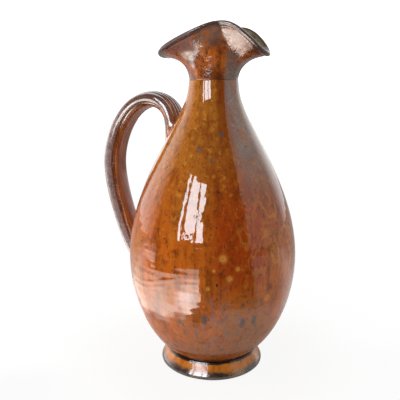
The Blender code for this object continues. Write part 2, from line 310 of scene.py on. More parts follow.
def evenly(curve, count):
    """The same plane curve with count points at equal steps of arc length."""
    length = np.concatenate([[0.0], np.cumsum(np.linalg.norm(np.diff(curve, axis=0), axis=1))])
    at = np.linspace(0.0, length[-1], count)
    return np.stack([np.interp(at, length, curve[:, i]) for i in (0, 1)], axis=1)


def unit(vectors):
    """Vectors divided by their lengths."""
    return vectors / np.linalg.norm(vectors, axis=-1, keepdims=True)


def round_angles(count):
    """Azimuths of count points evenly spaced round the Z axis."""
    return np.linspace(-math.pi, math.pi, count, endpoint=False)


def waves(azimuth, terms, rise=0.0):
    """Sum of cosine waves round the Z axis, with terms of (depth, number of waves, phase, twist by rise)."""
    total = 0.0
    for depth, number, phase, twist in terms:
        total = total + depth * np.cos(number * azimuth + phase + twist * rise)
    return total


def round_axis(radius, azimuth, height):
    """Points at a distance from the Z axis, an azimuth and a height."""
    axes = np.broadcast_arrays(radius * np.cos(azimuth), radius * np.sin(azimuth), height)
    return np.stack(axes, axis=-1)


def side_normals(curve):
    """Unit normals on the right-hand side of a plane curve: its tangent turned by a quarter turn."""
    along = unit(np.gradient(curve, axis=0))
    return np.stack([along[:, 1], -along[:, 0]], axis=1)


def smooth(value, low, high):
    """Smoothstep: 0 below low, 1 above high, and 3t^2 - 2t^3 between them."""
    t = np.clip((value - low) / (high - low), 0.0, 1.0)
    return t * t * (3 - 2 * t)


def add_object(name, data):
    """Put a new object with this data in the scene."""
    added = bpy.data.objects.new(name, data)
    bpy.context.scene.collection.objects.link(added)
    return added


def skin(name, rings, first=None, last=None, loop=False):
    """Make an object from rings of points, (n, m, 3), each closed on itself.

    Neighbouring rings are joined by quads, first and last are optional pole points that close the ends
    with triangles, and loop joins the last ring to the first. Faces are turned to give a positive volume.
    """
    count, around = rings.shape[:2]
    index = np.arange(count * around).reshape(count, around)
    following = np.roll(index, -1, axis=1)
    upper = np.roll(index, -1, axis=0)
    upper_following = np.roll(following, -1, axis=0)
    rows = slice(None) if loop else slice(0, count - 1)
    corners = [index[rows], following[rows], upper_following[rows], upper[rows]]
    quads = np.stack(corners, axis=-1).reshape(-1, 4)
    points = rings.reshape(-1, 3)
    triangles = []
    for pole, one, two in ((first, following[0], index[0]), (last, index[-1], following[-1])):
        if pole is not None:
            triangles.append(np.stack([np.full(around, len(points)), one, two], axis=-1))
            points = np.vstack([points, pole])
    corner = points[quads]
    volume = np.sum(corner[:, 0] * np.cross(corner[:, 1] - corner[:, 3], corner[:, 2]))
    if volume < 0:
        quads = quads[:, ::-1]
        triangles = [t[:, ::-1] for t in triangles]
    faces = quads.tolist()
    for fan in triangles:
        faces += fan.tolist()
    mesh = bpy.data.meshes.new(name)
    mesh.from_pydata(points.tolist(), [], faces)
    mesh.shade_smooth()
    return add_object(name, mesh)


def paint_values(piece, name, values):
    """Store one number for each point of a piece, for its material to read."""
    full = np.zeros(len(piece.data.vertices), np.float32)
    flat = np.asarray(values, np.float32).ravel()
    full[: len(flat)] = flat
    piece.data.attributes.new(name, "FLOAT", "POINT").data.foreach_set("value", full)


def turned(profile, steps):
    """Rings of a turned surface: each (radius, height) of the profile carried round the Z axis."""
    return round_axis(profile[:, :1], round_angles(steps), profile[:, 1:])


# Body

def body_outline(count):
    """Outside of the body as (radius, height): an ellipse from the seat to the belly's widest ring, then a
    Bezier curve, upright at both ends, that sweeps in to the neck."""
    reach = (BELLY_Z - FOOT_HEIGHT) / math.sqrt(1 - (SEAT_RADIUS / BELLY_RADIUS) ** 2)
    height = np.linspace(FLOOR_UNDERSIDE, BELLY_Z, count)
    radius = BELLY_RADIUS * np.sqrt(1 - ((BELLY_Z - height) / reach) ** 2)
    bowl = np.stack([radius, height], axis=1)
    shoulder = bezier(
        (BELLY_RADIUS, BELLY_Z),
        (BELLY_RADIUS, BELLY_Z + SHOULDER_SWELL),
        (NECK_RADIUS, NECK_Z - NECK_SWEEP),
        (NECK_RADIUS, NECK_Z),
        count,
    )
    return np.vstack([bowl[:-1], shoulder])


OUTLINE = body_outline(OUTLINE_POINTS)


def body_radius(height):
    """Outer radius of the body at a height."""
    return np.interp(height, OUTLINE[:, 1], OUTLINE[:, 0])


def on_body(azimuth_degrees, height):
    """Point of the body's surface at an azimuth and a height."""
    return round_axis(body_radius(height), math.radians(azimuth_degrees), height)


def hand_marks(azimuth, height):
    """How far the thrown wall stands out from a true turned form.

    Low waves round the pot for its slight lean and flats, fine rings for the potter's fingers, strongest
    round the belly, and two shallow finger ridges that climb along one side near the belly's widest ring.
    """
    rise = height / NECK_Z
    push = waves(azimuth, FLATS, rise)
    ring_phase = 2 * math.pi * height / RING_PITCH + RING_WANDER * np.sin(azimuth * 2 + 9 * rise)
    round_belly = smooth(height, 0.02, 0.07) * (1 - smooth(height, 0.1, 0.15))
    push = push + RING_DEPTH * np.sin(ring_phase) * (0.35 + 0.65 * round_belly)
    side = np.exp(-(((azimuth - RIDGE_AZIMUTH) / RIDGE_SPREAD) ** 2))
    climb = smooth(azimuth, math.radians(-120), math.radians(-78))
    ridge_height = BELLY_Z - RIDGE_DROP + RIDGE_CLIMB * climb
    for depth, width, below in RIDGES:
        push = push + depth * side * np.exp(-(((height - ridge_height + below) / width) ** 2))
    return push


def make_body():
    """The turned body: the outline carried round the axis and moved along its normal by the hand marks.

    Small craters are pressed in at the pinholes and blisters, the neck line has a rounded ledge, and the
    inner wall is plain.
    """
    outside = evenly(OUTLINE, BODY_RINGS)
    azimuth = round_angles(BODY_STEPS)
    normal = side_normals(outside)
    shell = turned(outside, BODY_STEPS)
    outward = round_axis(normal[:, :1], azimuth, normal[:, 1:])
    height = outside[:, 1:]
    fade = smooth(height, FOOT_HEIGHT, FOOT_HEIGHT + 20 * MM)
    fade = fade * (1 - smooth(height, NECK_Z - 25 * MM, NECK_Z - 5 * MM))
    push = hand_marks(azimuth[None, :], height) * fade
    for place, up, size in PINHOLES:
        near = np.linalg.norm(shell - on_body(place, up), axis=-1) / (0.55 * size)
        push = push - PINHOLE_DEPTH * np.exp(-near**2)
    for place, up, size in BLISTERS:
        near = np.linalg.norm(shell - on_body(place, up), axis=-1) / size
        push = push + BLISTER_RISE * np.exp(-(((near - 0.9) / 0.35) ** 2))
        push = push - BLISTER_PIT * np.exp(-((near / 0.5) ** 2))
    push = push + NECK_LEDGE * smooth(height, NECK_Z - 14 * MM, NECK_Z - 2 * MM)
    shell = shell + outward * push[..., None]
    shell = shell[shell[:, 0, 2] < NECK_Z - 1.2 * MM]
    lip = NECK_RADIUS + NECK_LEDGE
    neck_edge = np.array([
        (lip, NECK_Z - 0.9 * MM),
        (lip - 0.08 * MM, NECK_Z - 0.45 * MM),
        (lip - 0.35 * MM, NECK_Z - 0.12 * MM),
        (lip - 0.8 * MM, NECK_Z),
        (lip - 1.4 * MM, NECK_Z - 0.2 * MM),
        (NECK_RADIUS - NECK_WALL / 2, NECK_Z - 0.4 * MM),
        (NECK_RADIUS - NECK_WALL, NECK_Z - 3.0 * MM),
    ])
    plain = evenly(OUTLINE, BODY_INNER_RINGS)
    share = np.clip((plain[:, 1:] - BELLY_Z) / (NECK_Z - BELLY_Z), 0.0, 1.0)
    inside = plain - side_normals(plain) * (BELLY_WALL + (NECK_WALL - BELLY_WALL) * share)
    inside = inside[(inside[:, 1] > FLOOR_TOP) & (inside[:, 1] < NECK_Z - 4 * MM)][::-1]
    floor = np.array([(inside[-1, 0] - 4 * MM, FLOOR_TOP), (inside[-1, 0] / 2, FLOOR_TOP)])
    lining = [turned(profile, BODY_STEPS) for profile in (neck_edge, inside, floor)]
    rings = np.concatenate([shell, *lining])
    return skin("glazed_body", rings, first=(0, 0, FLOOR_UNDERSIDE), last=(0, 0, FLOOR_TOP))


# Foot

def make_foot():
    """The splayed foot: a closed section of a round bead, an arc, and a hollow Bezier slope up to the crease,
    carried round the axis with low waves in its height and reach, and dished on top under the body."""
    crease = SEAT_RADIUS + FOOT_LEDGE
    angle = np.linspace(math.radians(-75.0), SLOPE_ANGLE, FOOT_POINTS)[:, None]
    bead = np.array([[FOOT_WIDEST_RADIUS - BEAD_RADIUS, BEAD_HEIGHT]])
    bead = bead + BEAD_RADIUS * np.hstack([np.cos(angle), np.sin(angle)])
    slope = bezier(
        bead[-1],
        bead[-1] + FOOT_SWEEP * np.array([-math.sin(SLOPE_ANGLE), math.cos(SLOPE_ANGLE)]),
        (crease + FOOT_SWEEP * math.sin(SLOPE_ANGLE), FOOT_HEIGHT - FOOT_SWEEP),
        (crease, FOOT_HEIGHT - 0.4 * MM),
        FOOT_POINTS,
    )
    top = bezier(
        (crease, FOOT_HEIGHT - 0.4 * MM),
        (crease - 0.2 * MM, FOOT_HEIGHT + 0.1 * MM),
        (SEAT_RADIUS + 0.5 * MM, FOOT_HEIGHT + 0.1 * MM),
        (SEAT_RADIUS - 0.6 * MM, FOOT_HEIGHT - 1.2 * MM),
        FOOT_TOP_POINTS,
    )
    base = np.array([(bead[0, 0] * s, 0.0) for s in (0.25, 0.5, 0.75, 0.985)])
    dish = np.array([(SEAT_RADIUS - 4.5 * MM, FOOT_PAD), (SEAT_RADIUS / 2, FOOT_PAD)])
    profile = np.vstack([base, bead, slope[1:], top[1:], dish])
    rings = turned(profile, FOOT_STEPS)
    azimuth = round_angles(FOOT_STEPS)
    outer = smooth(profile[:, 0], SEAT_RADIUS, FOOT_WIDEST_RADIUS)[:, None]
    lift = smooth(profile[:, 1], 0.0, BEAD_HEIGHT)[:, None]
    reach = outer * waves(azimuth, FOOT_WAVES)
    rings[..., 0] += reach * np.cos(azimuth)
    rings[..., 1] += reach * np.sin(azimuth)
    rings[..., 2] += lift * waves(azimuth, FOOT_LIFT)
    return skin("splayed_foot", rings, first=(0, 0, 0), last=(0, 0, FOOT_PAD))


# Mouth

def make_mouth():
    """The trefoil mouth: at each azimuth a Bezier curve rises from the neck line to the lip's edge.

    The edge's radius grows and its height falls with a raised cosine that is 0 at the pinches and 1 in the
    middle of a lobe. The curve arrives leaning outwards by a power of that share, late on the spout and early
    on the back lobe, and the pinches drift towards the spout on their way down. A rounded bead swells the
    last few millimetres, and the wall is offset along the normal.
    """
    azimuth = round_angles(MOUTH_STEPS)
    turn = np.abs(azimuth)
    in_spout = turn < PINCH_ANGLE
    past_pinch = (turn - PINCH_ANGLE) / (math.pi - PINCH_ANGLE)
    share = 0.5 - 0.5 * np.cos(math.pi * np.where(in_spout, 1 - turn / PINCH_ANGLE, past_pinch))
    reach = np.where(in_spout, SPOUT_REACH, BACK_LOBE_REACH)
    low = np.where(in_spout, SPOUT_HEIGHT, BACK_LOBE_HEIGHT)
    fullness = np.where(in_spout, SPOUT_FULLNESS, 1.0)
    power = np.where(in_spout, SPOUT_DIP_POWER, BACK_DIP_POWER)
    radius = PINCH_RADIUS + (reach - PINCH_RADIUS) * share**fullness
    height = NECK_Z + PINCH_HEIGHT - (PINCH_HEIGHT - low) * share**power
    flare = share ** np.where(in_spout, SPOUT_FLARE_POWER, BACK_FLARE_POWER)
    lean = PINCH_LEAN + (LOBE_LEAN - PINCH_LEAN) * flare
    run = PINCH_RUN + (LOBE_RUN - PINCH_RUN) * flare
    start = np.stack([np.full(MOUTH_STEPS, NECK_RADIUS - 0.15 * MM), np.full(MOUTH_STEPS, NECK_Z + 0.2 * MM)])
    leave = start + COLLAR_RISE * np.array([[math.sin(COLLAR_LEAN)], [math.cos(COLLAR_LEAN)]])
    arrive = np.stack([radius - run * np.sin(lean), height - run * np.cos(lean)])
    curve = bezier(start, leave, arrive, np.stack([radius, height]), MOUTH_RINGS)
    drift = np.where(in_spout, np.sin(0.5 * math.pi * turn / PINCH_ANGLE), np.cos(0.5 * math.pi * past_pinch))
    below_rim = np.linspace(1.0, 0.0, MOUTH_RINGS)[:, None]
    swung = azimuth - np.sign(azimuth) * PINCH_DRIFT * drift * below_rim
    outside = round_axis(curve[:, 0], swung, curve[:, 1])
    upward = np.gradient(outside, axis=0)
    around = np.roll(outside, -1, axis=1) - np.roll(outside, 1, axis=1)
    normal = unit(np.cross(around, upward))
    upward = unit(upward)
    steps = np.linalg.norm(np.diff(outside, axis=0), axis=2)
    to_rim = np.vstack([np.cumsum(steps[::-1], axis=0)[::-1], np.zeros((1, MOUTH_STEPS))])
    walls = np.linspace(NECK_WALL, LIP_WALL, MOUTH_RINGS)[:, None]
    inside = outside - normal * walls[..., None]
    bead = BEAD_SWELL * (1 - smooth(to_rim, BEAD_WIDTH * 0.55, BEAD_WIDTH))
    bead = bead - BEAD_GROOVE * np.exp(-(((to_rim - 1.25 * BEAD_WIDTH) / (0.35 * BEAD_WIDTH)) ** 2))
    outside = outside + normal * bead[..., None]
    middle = (outside[-1] + inside[-1]) / 2
    half = np.linalg.norm(outside[-1] - inside[-1], axis=1)[:, None] / 2
    roll = np.linspace(0, math.pi, RIM_RINGS + 2)[1:-1, None, None]
    rim = middle + half * (normal[-1] * np.cos(roll) + RIM_FLATNESS * upward[-1] * np.sin(roll))
    bore = NECK_RADIUS - NECK_WALL
    joint = np.array([
        (bore, NECK_Z - 2.5 * MM),
        (bore + 1.2 * MM, NECK_Z - 2.5 * MM),
        (bore + 2.0 * MM, NECK_Z - 0.3 * MM),
        (NECK_RADIUS - 1.4 * MM, NECK_Z - 0.2 * MM),
        (NECK_RADIUS - 0.6 * MM, NECK_Z - 0.05 * MM),
    ])
    joint = round_axis(joint[:, :1], swung[0], joint[:, 1:])
    rings = np.concatenate([outside, rim, inside[:0:-1], joint])
    mouth = skin("trefoil_mouth", rings, loop=True)
    rim_reach = np.zeros((RIM_RINGS, MOUTH_STEPS))
    joint_reach = np.full((len(joint), MOUTH_STEPS), FAR_FROM_RIM)
    paint_values(mouth, "to_rim", np.concatenate([to_rim, rim_reach, to_rim[:0:-1], joint_reach]))
    inner_rings = MOUTH_RINGS - 1 + len(joint)
    lining = np.concatenate([np.zeros(MOUTH_RINGS), np.linspace(0, 1, RIM_RINGS), np.ones(inner_rings)])
    paint_values(mouth, "lining", np.repeat(lining, MOUTH_STEPS))
    return mouth


# Handle

def handle_line():
    """Centre line of the strap, (distance from the axis, height): three Bezier curves from the shoulder up to
    the crest, out and down to the grip, and in to the belly, with both ends carried on into the wall."""
    upper_z = NECK_Z - UPPER_ROOT_DROP
    upper = np.array([body_radius(upper_z), upper_z])
    crest = upper + np.array([CREST_RUN, CREST_RISE])
    grip = np.array([BELLY_RADIUS + GRIP_STANDOFF, BELLY_Z + GRIP_RISE])
    lower_z = BELLY_Z - TAIL_DROP
    lower = np.array([body_radius(lower_z), lower_z])
    tail = np.array([math.cos(TAIL_SLOPE), math.sin(TAIL_SLOPE)])
    out = np.array([1.0, 0.0])
    up = np.array([0.0, 1.0])
    return np.vstack([
        [upper - up * ROOT_SINK],
        bezier(upper, upper + up * UPPER_ROOT_EASE, crest - out * CREST_EASE_IN, crest, HANDLE_POINTS),
        bezier(crest, crest + out * CREST_EASE_OUT, grip + up * GRIP_EASE_UP, grip, HANDLE_POINTS)[1:],
        bezier(grip, grip - up * GRIP_EASE_DOWN, lower + tail * TAIL_EASE, lower, HANDLE_POINTS)[1:],
        [lower - tail * ROOT_SINK],
    ])


def strap_section():
    """Section of the strap as (across, outward), and how deep each point lies in a groove.

    A superellipse, with pointed grooves pressed into its outer half where the reeds meet: each groove's
    depth falls with a power of the distance along the outline, so that rounded reeds stand between them.
    """
    angle = np.linspace(0.5 * math.pi, 2.5 * math.pi, STRAP_STEPS, endpoint=False)
    power = 2 / STRAP_SQUARENESS
    across = np.sign(np.cos(angle)) * np.abs(np.cos(angle)) ** power * HANDLE_WIDTH / 2
    outward = np.sign(np.sin(angle)) * np.abs(np.sin(angle)) ** power * HANDLE_THICKNESS / 2
    outline = np.stack([across, outward], axis=1)
    outline = evenly(np.vstack([outline, outline[:1]]), STRAP_STEPS + 1)[:-1]
    place = np.arange(STRAP_STEPS) / STRAP_STEPS
    place = 2 * np.where(place > 0.5, place - 1, place) / GROOVED_SHARE
    inward = unit(np.roll(outline, -1, axis=0) - np.roll(outline, 1, axis=0))
    inward = np.stack([-inward[:, 1], inward[:, 0]], axis=1)
    depth = np.zeros(STRAP_STEPS)
    for spot, deep, reach, power in GROOVES:
        for side in {spot, -spot}:
            depth += deep * np.clip(1 - np.abs(place - side) / reach, 0, 1) ** power
    return outline + inward * depth[:, None], depth


def make_handle():
    """The reeded strap: the section carried along the centre line, square to it.

    Close to the body every point is pushed sideways, away from the centre line, by a quarter-circle fillet
    of the distance to the body's surface, and points inside the wall are held just under the surface.
    """
    line = evenly(handle_line(), STRAP_STATIONS)
    along = unit(np.gradient(line, axis=0))
    outward = np.stack([-along[:, 1], along[:, 0]], axis=1)
    section, depth = strap_section()
    share = np.linspace(0.0, 1.0, STRAP_STATIONS)
    wander = 1 + 0.018 * np.sin(9.0 * share + 0.5) + 0.012 * np.sin(23.0 * share)
    across = section[None, :, 0] * wander[:, None]
    lift = section[None, :, 1] * (2 - wander)[:, None]
    distance = line[:, :1] + lift * outward[:, :1]
    height = line[:, 1:] + lift * outward[:, 1:]
    points = np.stack([-distance, across, height], axis=-1)
    centre = np.stack([-line[:, 0], np.zeros(STRAP_STATIONS), line[:, 1]], axis=1)[:, None, :]

    radius = np.hypot(points[..., 0], points[..., 1])
    slope = np.gradient(OUTLINE[:, 0], OUTLINE[:, 1])
    lean = np.interp(points[..., 2], OUTLINE[:, 1], slope)
    clear = (radius - body_radius(points[..., 2])) / np.sqrt(1 + lean**2)
    normal = unit(np.stack([points[..., 0] / radius, points[..., 1] / radius, -lean], axis=-1))
    aside = points - centre
    aside = aside - normal * np.sum(aside * normal, axis=2)[..., None]
    aside /= np.maximum(np.linalg.norm(aside, axis=2), 1e-6)[..., None]
    near = np.clip(1 - clear / ROOT_FILLET, 0.0, 1.0)
    spread = ROOT_FILLET * ROOT_SPREAD * (1 - np.sqrt(1 - near**2))
    points = points + aside * spread[..., None]
    sunk = np.minimum(clear + ROOT_DEPTH, 0.0)
    points = points - normal * sunk[..., None]
    handle = skin("reeded_handle", points, first=points[0].mean(axis=0), last=points[-1].mean(axis=0))
    paint_values(handle, "root", near)
    below = -section[:, 1] / HANDLE_THICKNESS
    round_strap = {
        "groove": depth / depth.max(),
        "flank": smooth(below, *FLANK_FROM),
        "inner_face": smooth(below, *INNER_FACE_FROM),
    }
    for name, values in round_strap.items():
        paint_values(handle, name, np.broadcast_to(values, (STRAP_STATIONS, STRAP_STEPS)))
    return handle


# Materials

class Shade:
    """A socket in a material's node tree. Arithmetic on it adds Math nodes."""

    def __init__(self, tree, socket):
        self.tree = tree
        self.socket = socket

    def make(self, kind, inputs=None, settings=None, output=0):
        """Add a shader node with settings and with values or links for its sockets, by name or number."""
        node = self.tree.nodes.new("ShaderNode" + kind)
        for name, value in (settings or {}).items():
            if name == "stops":
                set_stops(node.color_ramp, value)
            else:
                setattr(node, name, value)
        for name, value in (inputs or {}).items():
            if isinstance(value, Shade):
                self.tree.links.new(value.socket, node.inputs[name])
            else:
                node.inputs[name].default_value = value
        return None if output is None else Shade(self.tree, node.outputs[output])

    def math(self, operation, one, two):
        return self.make("Math", {0: one, 1: two}, {"operation": operation})

    def __add__(self, other):
        return self.math("ADD", self, other)

    def __sub__(self, other):
        return self.math("SUBTRACT", self, other)

    def __rsub__(self, other):
        return self.math("SUBTRACT", other, self)

    def __mul__(self, other):
        return self.math("MULTIPLY", self, other)

    __radd__ = __add__
    __rmul__ = __mul__

    def at_least(self, other):
        return self.math("MAXIMUM", self, other)

    def band(self, low, high):
        """Smoothstep from 0 at low to 1 at high."""
        return self.make(
            "MapRange",
            {"Value": self, "From Min": low, "From Max": high},
            {"interpolation_type": "SMOOTHSTEP"},
        )

    def noise(self, scale, detail=3.0, roughness=0.5):
        """Noise over this vector."""
        sockets = {"Vector": self, "Scale": scale, "Detail": detail, "Roughness": roughness}
        return self.make("TexNoise", sockets)

    def stretched(self, x, y, z):
        """This vector with each axis scaled."""
        return self.make("Mapping", {"Vector": self, "Scale": (x, y, z)})

    def measured(self, operation, vector):
        """A number worked out from this vector and a fixed one."""
        return self.make("VectorMath", {0: self, 1: tuple(vector)}, {"operation": operation}, output="Value")

    def away_from(self, point):
        """Distance of this vector from a point."""
        return self.measured("DISTANCE", point)

    def bearing(self, azimuth_degrees):
        """Cosine of the angle round the Z axis between this vector and an azimuth."""
        angle = math.radians(azimuth_degrees)
        level = self.make("VectorMath", {0: self.stretched(1, 1, 0)}, {"operation": "NORMALIZE"})
        return level.along((math.cos(angle), math.sin(angle), 0.0))

    def along(self, vector):
        """Dot product of this vector with a fixed one."""
        return self.measured("DOT_PRODUCT", vector)

    def mix(self, one, two):
        """Colour one where this is 0, and colour two where it is 1."""
        sockets = {0: self}
        for number, colour in ((6, one), (7, two)):
            sockets[number] = colour if isinstance(colour, Shade) else (*colour, 1.0)
        return self.make("Mix", sockets, {"data_type": "RGBA"}, output=2)

    def ramp(self, *stops):
        """Colour read from stops of (position, colour)."""
        return self.make("ValToRGB", {"Fac": self}, {"stops": stops})


def set_stops(color_ramp, stops):
    """Replace a colour ramp's stops."""
    while len(color_ramp.elements) > 1:
        color_ramp.elements.remove(color_ramp.elements[-1])
    for number, (position, colour) in enumerate(stops):
        stop = color_ramp.elements[0] if number == 0 else color_ramp.elements.new(position)
        stop.position = position
        stop.color = (*colour, 1.0)


class GlazeFinish:
    """A glossy glaze material, with the surface coordinates that its pattern is worked out from."""

    def __init__(self, name):
        self.material = bpy.data.materials.new(name)
        self.material.use_nodes = True
        self.tree = self.material.node_tree
        self.shader = self.tree.nodes["Principled BSDF"]
        self.shader.inputs["IOR"].default_value = GLAZE_IOR
        start = Shade(self.tree, None)
        self.place = start.make("TexCoord", output="Object")
        self.height = start.make("SeparateXYZ", {0: self.place}, output="Z")

    def values(self, name):
        """One of the piece's own stored numbers."""
        return self.place.make("Attribute", None, {"attribute_name": name}, output="Fac")

    def lustre(self, weight):
        """A second bright coat over the glaze, with a weight that may vary."""
        self.tree.links.new(weight.socket, self.shader.inputs["Coat Weight"])
        self.shader.inputs["Coat IOR"].default_value = LUSTRE_IOR
        self.shader.inputs["Coat Roughness"].default_value = LUSTRE_ROUGHNESS

    def finish(self, piece, colour, roughness, relief, relief_depth):
        """Link the colour, roughness and relief to the shader and put the material on the piece."""
        bump = self.place.make("Bump", {"Strength": 1.0, "Distance": relief_depth, "Height": relief})
        for name, value in (("Base Color", colour), ("Roughness", roughness), ("Normal", bump)):
            self.tree.links.new(value.socket, self.shader.inputs[name])
        piece.data.materials.append(self.material)


def specks(place, scale, size, share):
    """Dark iron specks: the middles of Voronoi cells, kept in a share of the cells."""
    cells = place.make("TexVoronoi", {"Vector": place, "Scale": scale}, output="Distance")
    pick = place.make("TexVoronoi", {"Vector": place, "Scale": scale}, output="Color")
    return (1 - cells.band(size * 0.5, size)) * pick.band(1 - share, 1 - share + 0.02)


def layered(colour, *layers):
    """A colour with others laid over it in turn, each given as (mask, colour)."""
    for mask, over in layers:
        colour = mask.mix(colour, over)
    return colour


def body_glaze(piece):
    """Honey-amber glaze that deepens to russet on the belly, with runs, specks, pinholes, ash and scummy grey
    patches.
    """
    glaze = GlazeFinish("amber_body_glaze")
    place, height = glaze.place, glaze.height
    runs = place.stretched(1, 1, 0.06).noise(170.0, 6.0, 0.65)
    broad = place.stretched(1, 1, 0.35).noise(28.0, 4.0, 0.6)
    mottle = place.noise(120.0, 6.0, 0.68)
    fine = place.stretched(1, 1, 0.5).noise(420.0, 4.0, 0.7)
    rings = place.stretched(0.05, 0.05, 1).noise(420.0, 3.0, 0.6)
    flecks = place.stretched(1, 1, 0.6).noise(240.0, 5.0, 0.7)
    dots = specks(place.stretched(1, 1, 0.6), 150.0, 0.17, 0.2).at_least(specks(place, 340.0, 0.22, 0.2))

    red = place.bearing(RED_BEARING).band(0.93, 0.985)
    red = red * height.band(70 * MM, 100 * MM) * height.band(185 * MM, 130 * MM)
    shaded = place.bearing(SHADED_BEARING).band(0.955, 0.99) * height.band(165 * MM, 195 * MM)
    worms = place.stretched(1, 1, 0.6).noise(70.0, 3.0) - 0.5
    near_worms = place.away_from(on_body(*WORM_TRACKS)).band(46 * MM, 18 * MM)
    worms = (1 - (worms * worms).band(0.0, 0.0016)) * near_worms

    scum_side = place.bearing(SCUM_BEARING).band(0.70, 0.82)
    scum_runs = place.stretched(1, 1, 0.25).noise(150.0, 6.0, 0.72)
    grit = place.noise(600.0, 2.0, 0.6)
    streaks = place.stretched(1, 1, 0.3).noise(300.0, 5.0, 0.75)
    high = scum_side * height.band(140 * MM, 190 * MM)
    high = high * scum_runs.band(0.3, 0.5) * (0.35 + grit.band(0.36, 0.54) * 0.65)
    low = place.away_from(on_body(*LOW_SCUM)).band(46 * MM, 12 * MM)
    low = low * scum_runs.band(0.38, 0.56) * streaks.band(0.44, 0.58)
    greying = (high * 0.85).at_least(low * 0.65)
    edges = {"feature": "DISTANCE_TO_EDGE"}
    cracks = place.make("TexVoronoi", {"Vector": place, "Scale": 42.0}, edges, output="Distance")
    cracks = cracks.band(0.022, 0.008) * mottle.band(0.42, 0.56) * scum_side

    ash = None
    for azimuth, up, size in ASH_RUNS:
        spot = on_body(azimuth, up) * np.array([1, 1, 0.3])
        far = place.stretched(1, 1, 0.3).away_from(spot) + (mottle - 0.5) * 4.0 * MM + (fine - 0.5) * 5.0 * MM
        blot = 1 - far.band(0.45 * size, 0.9 * size)
        ash = blot if ash is None else ash.at_least(blot)

    # Darker towards the foot: painted shade where the body meets the foot, then russet on the belly.
    low_colours_and_foot_shade = ((0.04, UMBER), (0.08, CHESTNUT), (0.16, RUSSET), (0.42, RUSSET))
    colour = layered(
        (height * (1 / NECK_Z)).ramp(*low_colours_and_foot_shade, (0.62, AMBER), (0.8, HONEY), (1.0, HONEY)),
        (red * 0.9, BLOOD),
        (broad.band(0.5, 0.68) * 0.8 * (1 - red), HONEY),
        (broad.band(0.5, 0.32) * 0.75, CHESTNUT),
        (runs.band(0.5, 0.68) * 0.6, CHESTNUT),
        (runs.band(0.46, 0.3) * 0.5, HONEY),
        (flecks.band(0.52, 0.68) * (0.35 + height.band(110 * MM, 180 * MM) * 0.35), GOLD),
        (mottle.band(0.53, 0.66) * 0.48, UMBER),
        (fine.band(0.52, 0.68) * 0.6, UMBER),
        (shaded * (0.45 + runs * 0.4), CHESTNUT),
        (rings.band(0.55, 0.7) * 0.25, CHESTNUT),
        (dots * 0.9, SOOT),
        (worms * 0.3, HALO),
        (greying, grit.band(0.4, 0.7).mix(*GRITTY_SCUM)),
        (cracks * height.band(160 * MM, 190 * MM) * 0.4, CRACK),
        (ash * 0.85, ASH),
    )
    for azimuth, up, size in PINHOLES:
        far = place.away_from(on_body(azimuth, up)) + (mottle - 0.5) * 1.2 * MM
        halo = 1 - far.band(0.1 * size, 1.7 * size)
        pit = 1 - far.band(0.1 * size, 0.26 * size)
        colour = layered(colour, (halo * halo * 0.9, HALO), (pit * 0.9, CHESTNUT))

    roughness = 0.025 + mottle * 0.02 + greying * 0.14 + ash * 0.2 + (1 - height.band(0.02, 0.06)) * 0.05
    ripple = place.stretched(1, 1, 0.35).noise(150.0, 2.0)
    relief = ripple + mottle * 0.04 - dots * 0.12 + greying * 0.1
    glaze.finish(piece, colour, roughness, relief, 0.14 * MM)


